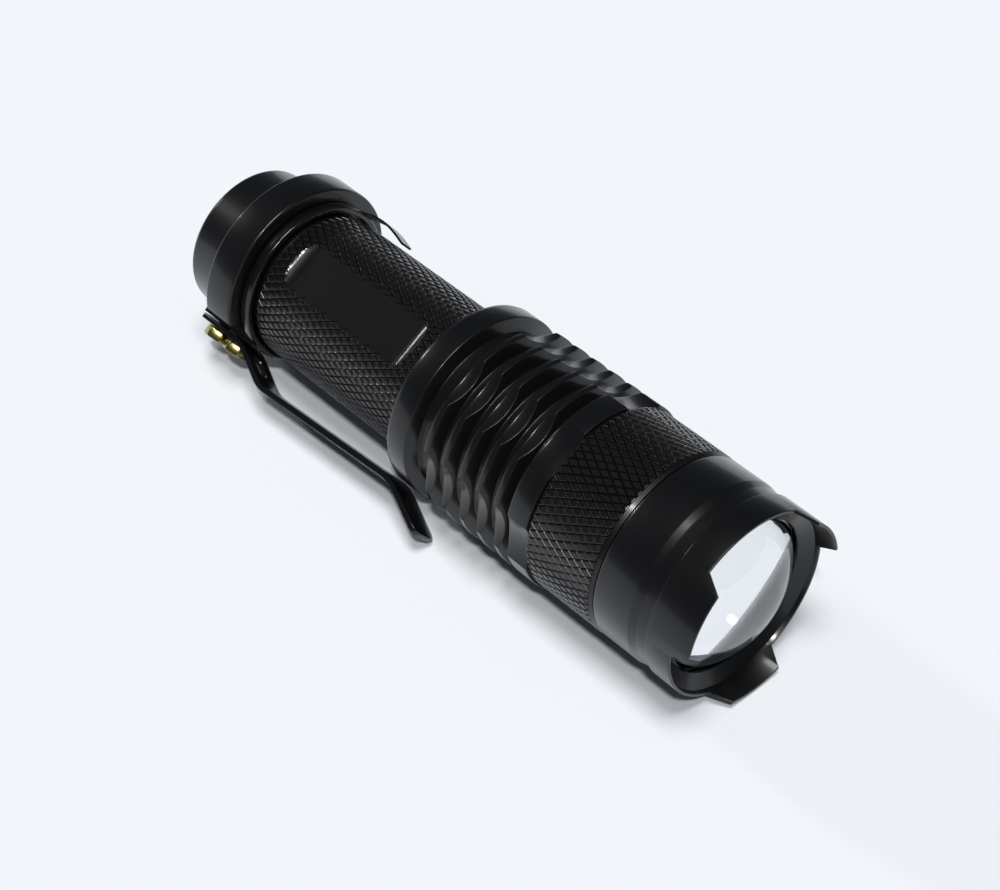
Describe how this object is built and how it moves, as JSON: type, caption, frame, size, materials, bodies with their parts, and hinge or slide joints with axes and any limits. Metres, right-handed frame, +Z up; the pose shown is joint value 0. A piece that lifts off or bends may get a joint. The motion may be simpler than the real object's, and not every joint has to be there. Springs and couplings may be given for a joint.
{
  "type": "zoom flashlight",
  "caption": "Pocket flashlight with a sliding finned zoom head, crown bezel, knurled battery tube, tail switch and side pocket clip.",
  "frame": {"origin": "under the middle of the object's box, on the surface that the light lies on", "axes": "+X along the light towards the lens, +Z up, the clip on the -Y side"},
  "size_m": [0.0922, 0.028, 0.0257],
  "materials": {
    "black_anodised": "black anodised, satin",
    "bare_aluminium": "turned",
    "spring_steel": "gloss black",
    "brass": "bright",
    "rubber": "matt",
    "clear_lens": "polished",
    "circuit_board": "solder mask",
    "switch_plastic": "moulded",
    "phosphor": "matt",
    "cell_jacket": null
  },
  "bodies": {
    "tube": {"battery_tube": "black_anodised", "head_o_ring": "rubber", "tail_o_ring": "rubber", "led_pill": "bare_aluminium", "driver_board": "circuit_board", "driver_contact": "brass", "led_board": "circuit_board", "led_emitter": "phosphor", "led_dome": "clear_lens", "aa_cell": "cell_jacket"},
    "head": {"zoom_head": "black_anodised", "crown_bezel": "black_anodised", "lens": "clear_lens", "lens_o_ring": "rubber"},
    "clip": {"clip_band": "spring_steel", "pocket_clip": "spring_steel", "clip_screw_rear": "spring_steel", "clip_screw_front": "spring_steel", "clip_nut_rear": "brass", "clip_nut_front": "brass"},
    "tail": {"tail_cap": "black_anodised", "switch_body": "switch_plastic", "switch_board": "circuit_board", "switch_retainer": "bare_aluminium", "tail_spring": "brass"},
    "button": {"switch_boot": "rubber", "switch_plunger": "switch_plastic"}
  },
  "joints": [
    {"name": "zoom_slide", "type": "slide", "parent": "tube", "child": "head", "axis": [1, 0, 0], "range_m": [0, 0.008]},
    {"name": "tail_turn", "type": "hinge", "parent": "tube", "child": "clip", "pos_m": [0, 0.00118, 0.01285], "axis": [-1, 0, 0], "range_deg": [0, 1080]},
    {"name": "tail_unscrew", "type": "slide", "parent": "clip", "child": "tail", "axis": [-1, 0, 0], "range_m": [0, 0.003]},
    {"name": "switch_press", "type": "slide", "parent": "tail", "child": "button", "axis": [1, 0, 0], "range_m": [0, 0.0014], "stiffness_N_per_m": 1000}
  ],
  "couplings": [
    {"joint": "tail_unscrew", "follows": "tail_turn", "m_per_rad": 0.000159}
  ]
}
